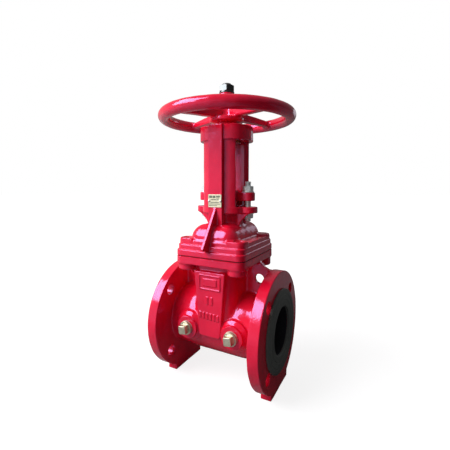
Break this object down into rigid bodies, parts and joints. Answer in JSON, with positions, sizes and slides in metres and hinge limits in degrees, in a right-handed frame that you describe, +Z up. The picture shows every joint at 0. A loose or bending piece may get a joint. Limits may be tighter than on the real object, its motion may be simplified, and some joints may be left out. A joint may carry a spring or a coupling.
{
  "type": "gate valve",
  "caption": "Flanged outside-screw gate valve with windowed yoke, domed bonnet, lugged gland, and a hand wheel whose threaded stem raises the rubber-faced wedge.",
  "frame": {"origin": "where the flow axis meets the stem axis, midway between the flange faces", "axes": "+X along the flow axis towards the outlet flange, -Y towards the side with the pipe plugs and nameplate, +Z up along the stem"},
  "size_m": [0.23, 0.23, 0.501],
  "materials": {
    "red_paint": "gloss red coating on cast iron",
    "black_facing": "matt black rubber facing",
    "gasket_rubber": "matt black rubber",
    "zinc_steel": "bright zinc plate",
    "plug_nickel": "dull yellow-grey plate",
    "seal_ptfe": "off-white sealing plastic",
    "seal_wax": "dark red wax",
    "packing_graphite": "dark grey braided packing",
    "bronze": "machined bronze",
    "stem_steel": "turned stainless steel",
    "plate_cream": "cream coated aluminium",
    "rivet_steel": "plain rivet",
    "core_iron": "bare ductile iron",
    "wedge_rubber": "black moulded rubber",
    "guide_plastic": "natural nylon"
  },
  "bodies": {
    "valve_body": {"body": "red_paint", "inlet_facing": "black_facing", "outlet_facing": "black_facing", "bonnet": "red_paint", "bonnet_gasket": "gasket_rubber", "bonnet_bolts": "zinc_steel", "bolt_seals": "seal_wax", "backseat_bush": "bronze", "packing_rings": "packing_graphite", "gland_studs": "zinc_steel", "stud_lower_nuts": "zinc_steel", "yoke_bushing": "bronze", "bushing_set_screw": "zinc_steel", "pipe_plugs": "plug_nickel", "plug_seals": "seal_ptfe", "nameplate": "plate_cream", "nameplate_rivets": "rivet_steel"},
    "gland": {"gland_follower": "red_paint", "gland_nuts": "zinc_steel", "gland_washers": "zinc_steel"},
    "gate": {"wedge_core": "core_iron", "wedge_rubber": "wedge_rubber", "wedge_guides": "guide_plastic"},
    "stem": {"stem": "stem_steel", "handwheel": "red_paint", "wheel_washer": "zinc_steel", "wheel_nut": "zinc_steel"}
  },
  "joints": [
    {"name": "gate_lift", "type": "slide", "parent": "valve_body", "child": "gate", "axis": [0, 0, 1], "range_m": [0, 0.084]},
    {"name": "stem_turn", "type": "hinge", "parent": "gate", "child": "stem", "pos_m": [0, 0, 0.2], "axis": [0, 0, 1], "range_deg": [0, 6040]},
    {"name": "gland_adjust", "type": "slide", "parent": "valve_body", "child": "gland", "axis": [0, 0, 1], "range_m": [-0.004, 0], "deforming": ["packing_rings"]}
  ],
  "couplings": [
    {"joint": "gate_lift", "follows": "stem_turn", "m_per_rad": 0.00079577}
  ]
}
